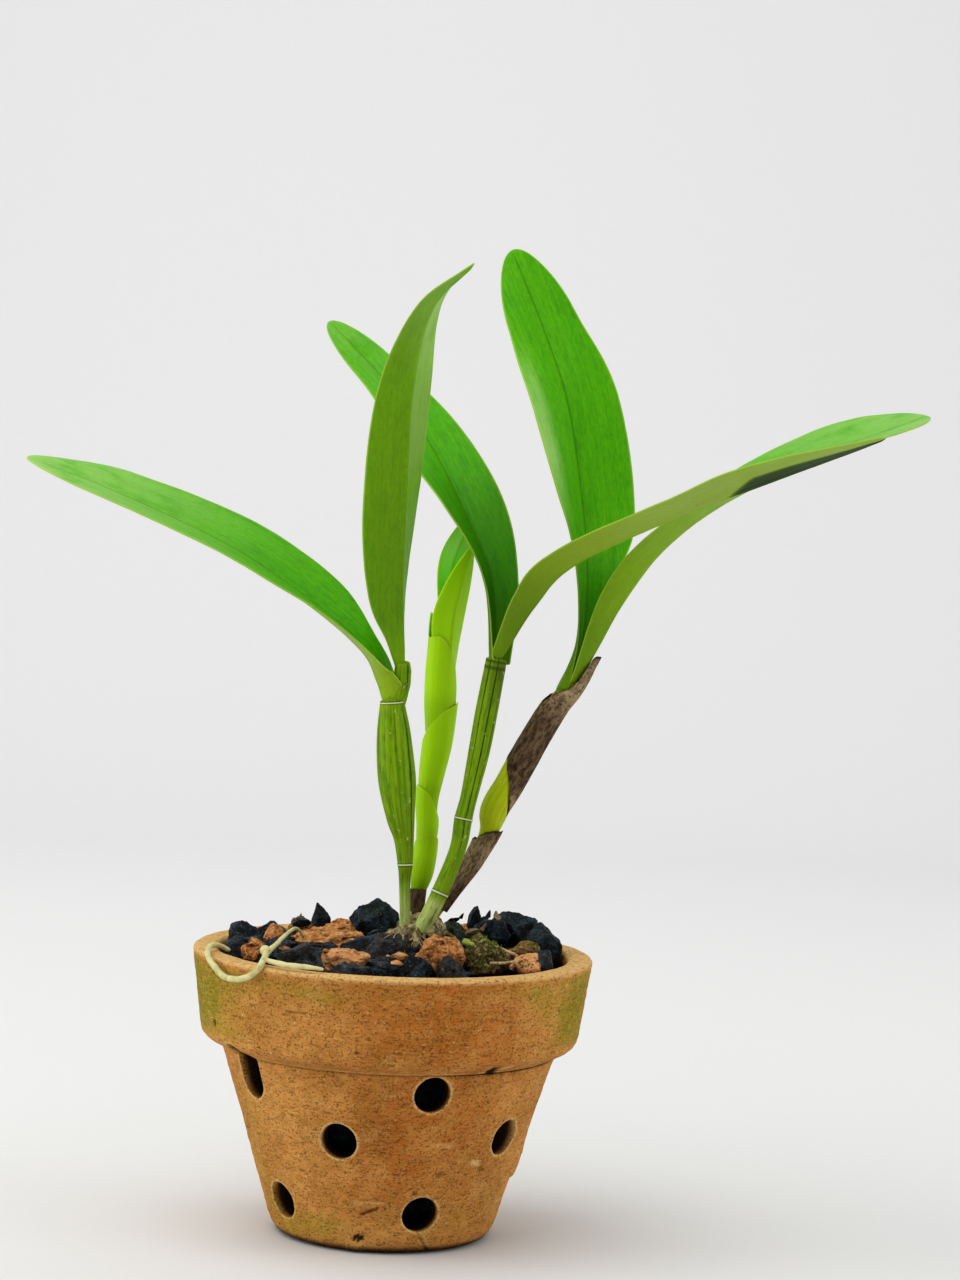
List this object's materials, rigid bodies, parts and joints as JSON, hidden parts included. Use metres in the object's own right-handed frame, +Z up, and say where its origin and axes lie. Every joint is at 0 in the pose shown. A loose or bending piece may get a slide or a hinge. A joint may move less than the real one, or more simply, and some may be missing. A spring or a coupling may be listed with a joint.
{
  "type": "potted cattleya orchid",
  "caption": "Young cattleya orchid with strap leaves on jointed canes, planted in charcoal and broken brick in a pierced terracotta pot.",
  "frame": {"origin": "on the pot's axis at the underside of its base", "axes": "+Z up along the pot's axis, +X to the right seen from the front, +Y to the back"},
  "size_m": [0.3496, 0.1554, 0.3753],
  "materials": {
    "terracotta": "matte fired clay with algae",
    "charcoal": "rough, dull black",
    "brick": "rough broken clay",
    "rhizome": "rough, scaly",
    "cane": "waxy, ridged lengthwise",
    "leaf": "leathery, satin",
    "young_leaf": "satin",
    "dry_sheath": "dry and papery",
    "root": "matte, spongy",
    "green_root": "matte",
    "twig": "dry bark"
  },
  "bodies": {
    "root": {"pot": "terracotta", "charcoal_bed": "charcoal", "brick_chunk_01": "brick", "brick_chunk_02": "brick", "brick_chunk_03": "brick", "brick_chunk_04": "brick", "brick_chunk_05": "brick", "brick_chunk_06": "brick", "brick_chunk_07": "brick", "brick_chunk_08": "brick", "brick_chunk_09": "brick", "brick_chunk_10": "brick", "brick_chunk_11": "brick", "brick_chunk_12": "brick", "brick_chunk_13": "brick", "rhizome": "rhizome", "cane_left": "cane", "leaf_stub_left": "cane", "cane_centre": "cane", "cane_right": "cane", "leaf_left_arching": "leaf", "leaf_left_upright": "leaf", "leaf_centre_leaning": "leaf", "leaf_centre_arching": "leaf", "leaf_right_broad": "leaf", "leaf_right_arching": "leaf", "sheath_right_lower": "dry_sheath", "sheath_right_upper": "dry_sheath", "shoot_stem": "young_leaf", "bract_1_base": "dry_sheath", "bract_2": "young_leaf", "bract_3": "young_leaf", "bract_4": "young_leaf", "bract_5": "young_leaf", "shoot_leaf_front": "young_leaf", "shoot_leaf_back": "young_leaf", "aerial_root": "root", "root_bit_green": "green_root", "twig_1": "twig", "twig_2": "twig"}
  },
  "joints": []
}
